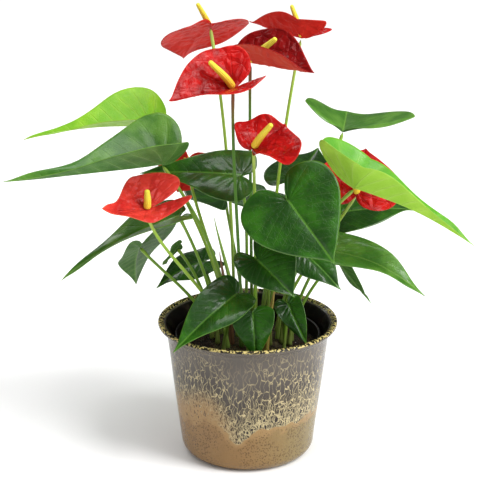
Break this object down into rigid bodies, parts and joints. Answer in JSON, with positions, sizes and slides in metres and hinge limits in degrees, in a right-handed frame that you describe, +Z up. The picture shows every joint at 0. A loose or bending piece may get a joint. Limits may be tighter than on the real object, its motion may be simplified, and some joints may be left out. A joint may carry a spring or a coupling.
{
  "type": "potted flowering plant",
  "caption": "Anthurium with heart-shaped leaves, red spathes and yellow spadices in a nursery pot of soil, inside a tapered cover pot with crackle glaze.",
  "frame": {"origin": "middle of the cover pot's flat foot, on the surface that it stands on", "axes": "+Z up along the pot's axis, -Y toward the plant's front, +X to the front view's right"},
  "size_m": [0.4443, 0.2862, 0.4468],
  "materials": {
    "crackle_glaze": "glossy grey-brown crackle glaze over ochre glaze, dark mottled lip",
    "black_plastic": "thin moulded nursery pot",
    "peat_soil": "moist peat and bark, dull and crumbly",
    "crown_bark": "rough fibrous plant crown",
    "leaf_dark_green": "glossy dark green leaf, paler beneath",
    "leaf_light_green": "glossy yellow-green leaf, paler beneath",
    "stalk_green": "smooth light green stalk",
    "spathe_red": "waxy glossy puckered red",
    "spathe_coral": "waxy glossy coral red",
    "spadix_yellow": "knobbly yellow",
    "sheath_brown": "dry papery sheath"
  },
  "bodies": {
    "root": {"ceramic_pot": "crackle_glaze", "crown": "crown_bark", "flower_stalk_1": "stalk_green", "flower_stalk_2": "stalk_green", "flower_stalk_3": "stalk_green", "flower_stalk_4": "stalk_green", "flower_stalk_5": "stalk_green", "flower_stalk_6": "stalk_green", "flower_stalk_7": "stalk_green", "flower_stalk_8": "stalk_green", "leaf_back_left_bright": "leaf_light_green", "leaf_back_left_low": "leaf_dark_green", "leaf_centre_back": "leaf_dark_green", "leaf_centre_low": "leaf_dark_green", "leaf_centre_right_back": "leaf_dark_green", "leaf_centre_right_low": "leaf_dark_green", "leaf_front_heart": "leaf_dark_green", "leaf_front_left_low": "leaf_dark_green", "leaf_front_middle_low": "leaf_dark_green", "leaf_front_right_low": "leaf_dark_green", "leaf_left_large": "leaf_dark_green", "leaf_left_lower": "leaf_dark_green", "leaf_left_small": "leaf_dark_green", "leaf_left_under": "leaf_dark_green", "leaf_rear_left": "leaf_dark_green", "leaf_rear_right": "leaf_dark_green", "leaf_right_bright": "leaf_light_green", "leaf_right_far": "leaf_dark_green", "leaf_right_low": "leaf_dark_green", "leaf_right_narrow": "leaf_dark_green", "leaf_top_right": "leaf_dark_green", "nursery_pot": "black_plastic", "potting_soil": "peat_soil", "sheath_brown": "sheath_brown", "sheath_new_leaf": "sheath_brown", "sheath_tan": "sheath_brown", "spadix_1": "spadix_yellow", "spadix_2": "spadix_yellow", "spadix_3": "spadix_yellow", "spadix_4": "spadix_yellow", "spadix_5": "spadix_yellow", "spadix_6": "spadix_yellow", "spadix_7": "spadix_yellow", "spadix_8": "spadix_yellow", "spathe_1": "spathe_red", "spathe_2": "spathe_red", "spathe_3": "spathe_red", "spathe_4": "spathe_red", "spathe_5": "spathe_red", "spathe_6": "spathe_red", "spathe_7": "spathe_coral", "spathe_8": "spathe_red"}
  },
  "joints": []
}
